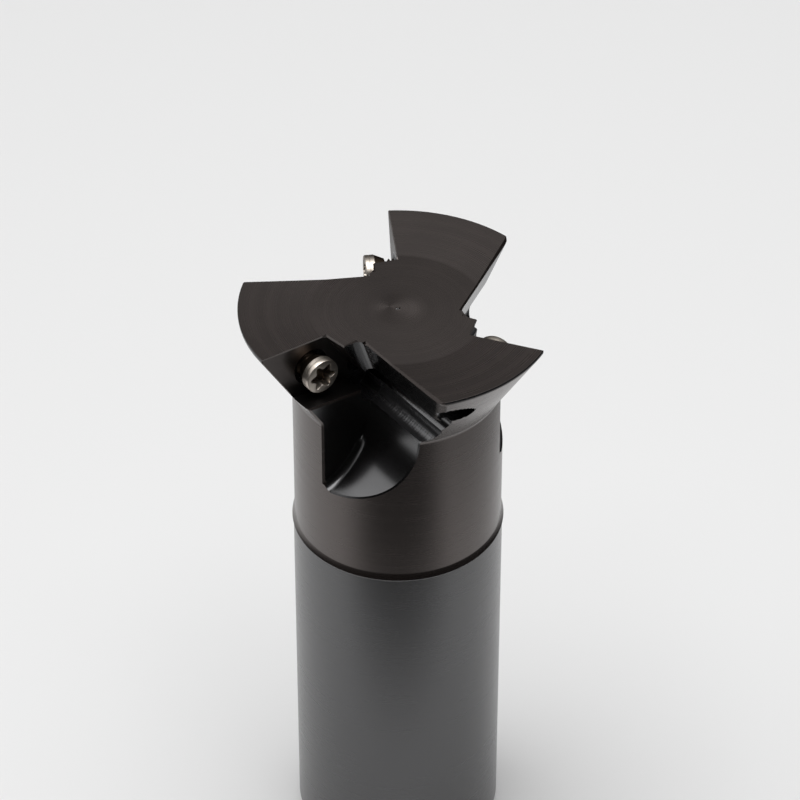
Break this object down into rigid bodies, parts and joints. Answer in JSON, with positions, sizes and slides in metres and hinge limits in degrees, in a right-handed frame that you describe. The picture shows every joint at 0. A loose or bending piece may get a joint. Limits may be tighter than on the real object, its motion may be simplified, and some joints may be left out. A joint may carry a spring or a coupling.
{
  "type": "face mill",
  "caption": "Indexable face mill with a back-angled flank, empty insert seats with their screws, and a plain cylindrical shank.",
  "frame": {"origin": "centre of the shank's end face", "axes": "+Z along the spindle axis from the shank end to the cutting face; +Y away from the side on which the insert seat of tooth a can be seen, +X to that side's right"},
  "size_m": [0.0447, 0.0464, 0.1],
  "materials": {
    "black_oxide_steel": "turned and milled steel, blackened brown-black, satin with fine turning lines",
    "screw_steel": "plain warm grey steel, semi-bright"
  },
  "bodies": {
    "cutter": {"cutter_body": "black_oxide_steel"},
    "screw_a": {"insert_screw_a": "screw_steel"},
    "screw_b": {"insert_screw_b": "screw_steel"},
    "screw_c": {"insert_screw_c": "screw_steel"}
  },
  "joints": [
    {"name": "screw_a_travel", "type": "slide", "parent": "cutter", "child": "screw_a", "axis": [0.6018, -0.7986, 0], "range_m": [0, 0.0075]},
    {"name": "screw_b_travel", "type": "slide", "parent": "cutter", "child": "screw_b", "axis": [-0.9925, -0.1219, 0], "range_m": [-0.00145, 0.00605]},
    {"name": "screw_c_travel", "type": "slide", "parent": "cutter", "child": "screw_c", "axis": [0.3907, 0.9205, 0], "range_m": [0, 0.0075]}
  ]
}
